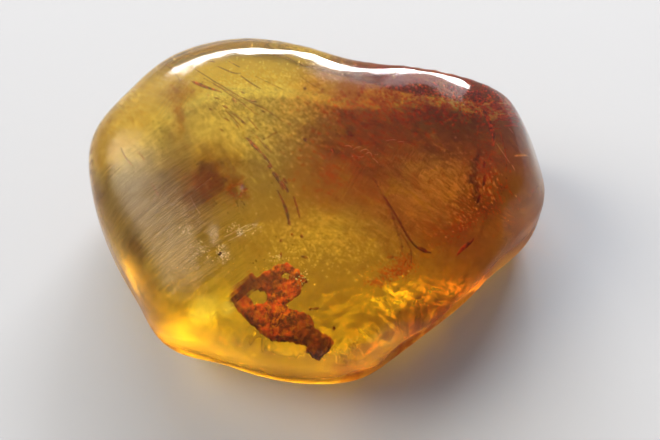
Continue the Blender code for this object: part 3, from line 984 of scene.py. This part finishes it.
NICKS = (
    (((345, 146), (349, 144), (352, 148)), 0.3, 0.10), (((353, 150), (357, 146), (361, 147)), 0.3, 0.10),
    (((360, 152), (364, 148), (368, 150)), 0.3, 0.10), (((366, 154), (370, 150), (372, 155)), 0.3, 0.10),
    (((372, 158), (376, 160), (378, 163)), 0.3, 0.10), (((357, 156), (361, 158), (364, 156)), 0.3, 0.10),
    (((386, 141), (391, 139), (396, 140)), 0.3, 0.09), (((398, 142), (401, 141), (404, 142)), 0.3, 0.08),
    (((496, 143), (503, 153), (510, 163)), 0.3, 0.10), (((512, 165), (514, 168), (515, 171)), 0.3, 0.14),
    (((509, 128), (511, 130), (513, 133)), 0.3, 0.14), (((515, 112), (516, 114), (517, 116)), 0.3, 0.16),
    (((195, 190), (203, 185), (211, 178)), 0.4, 0.12), (((190, 196), (194, 205), (200, 214)), 0.4, 0.08),
    (((224, 237), (236, 231), (250, 224)), 0.3, 0.16), (((228, 241), (240, 235), (254, 227)), 0.3, 0.12),
)
strands("nicks", [drawn(*nick) for nick in NICKS], glint_look, "gum")
print(len(NICKS), "nicks")

# %% [markdown]
# The lump lies on a pale matt floor.

# %% Floor
bpy.ops.mesh.primitive_plane_add(size=2.0, location=(0, 0, -0.2 * MM))
floor = bpy.context.object
floor.name = "floor"
floor_look, tree, shader = new_look("floor")
shader.inputs["Base Color"].default_value = (0.355, 0.365, 0.385, 1)
shader.inputs["Roughness"].default_value = 0.9
floor.data.materials.append(floor_look)
print("the floor is", round(floor.dimensions.x, 1), "m wide")

# %% [markdown]
# Most of the light is a pale sky all round. It is dimmed overhead, because the crown would mirror a bright
# ceiling, and in front, so that the low edge stays dark. A warm patch of it at the left lies as a soft
# sheen on the worn side. Each of these is a lobe: it has one strength near a direction, and another far
# from it.

# %% Sky
def towards(azimuth, elevation):
    """The unit vector at this azimuth, from +X towards +Y, and this elevation, in degrees."""
    turn, rise = math.radians(azimuth), math.radians(elevation)
    return Vector((math.cos(turn) * math.cos(rise), math.sin(turn) * math.cos(rise), math.sin(rise)))


SKY_EVERYWHERE = 0.56
COOL, WARM, WARM_STRENGTH = (0.92, 0.94, 1.0), (1.0, 0.86, 0.66), 13.0
world = bpy.data.worlds.new("studio")
bpy.context.scene.world = world
world.use_nodes = True
tree = world.node_tree
sky_place = tree.nodes.new("ShaderNodeTexCoord").outputs["Generated"]


def lobe(azimuth, elevation, full, none, inner, outer):
    """Runs from inner, within full degrees of this direction, to outer, beyond none degrees of it."""
    near = add_node(tree, "ShaderNodeVectorMath", {0: sky_place, 1: towards(azimuth, elevation)},
                    operation="DOT_PRODUCT").outputs["Value"]
    return ramp(tree, near, math.cos(math.radians(none)), math.cos(math.radians(full)), outer, inner)


warm = lobe(171, 40, 2, 25, 1.0, 0.0)
behind = lobe(95, 8, 20, 60, 0.3, 0.0)
overhead = lobe(90, 70, 20, 46, 0.8, 1.0)
in_front = lobe(-55, 12, 35, 80, 0.45, 1.0)
bright = total(tree, SKY_EVERYWHERE, behind, product(tree, warm, WARM_STRENGTH))
dimmed = product(tree, bright, overhead, in_front)
tree.links.new(blend_colour(tree, warm, COOL, WARM), tree.nodes["Background"].inputs["Color"])
tree.links.new(dimmed, tree.nodes["Background"].inputs["Strength"])
print("the plain sky has a strength of", SKY_EVERYWHERE)

# %% [markdown]
# Two long windows low behind the lump draw the white band along its back shoulder and shine through to the
# front. A faint curtain above the second one softens the band's upper edge.

# %% Windows
def softbox(name, azimuth, elevation, width, height, power):
    """A soft panel lamp, a metre away, that shines at the lump from this side."""
    way = towards(azimuth, elevation)
    bpy.ops.object.light_add(type="AREA", location=way, rotation=way.to_track_quat("Z", "Y").to_euler())
    lamp = bpy.context.object
    lamp.name = name
    lamp.data.shape = "RECTANGLE"
    lamp.data.size, lamp.data.size_y = width, height
    lamp.data.energy = power
    lamp.visible_camera = False
    return lamp


# Azimuth, elevation, width, height and power.
softbox("window", 100, 26, 0.62, 0.13, 11.0)
softbox("second_window", 71, 28.5, 0.40, 0.15, 8.4)
softbox("curtain", 72, 37, 0.42, 0.20, 1.3)
bpy.context.scene.view_settings.view_transform = "Standard"

# %% [markdown]
# The script ends here.

# %% The end
print("the scene is built")
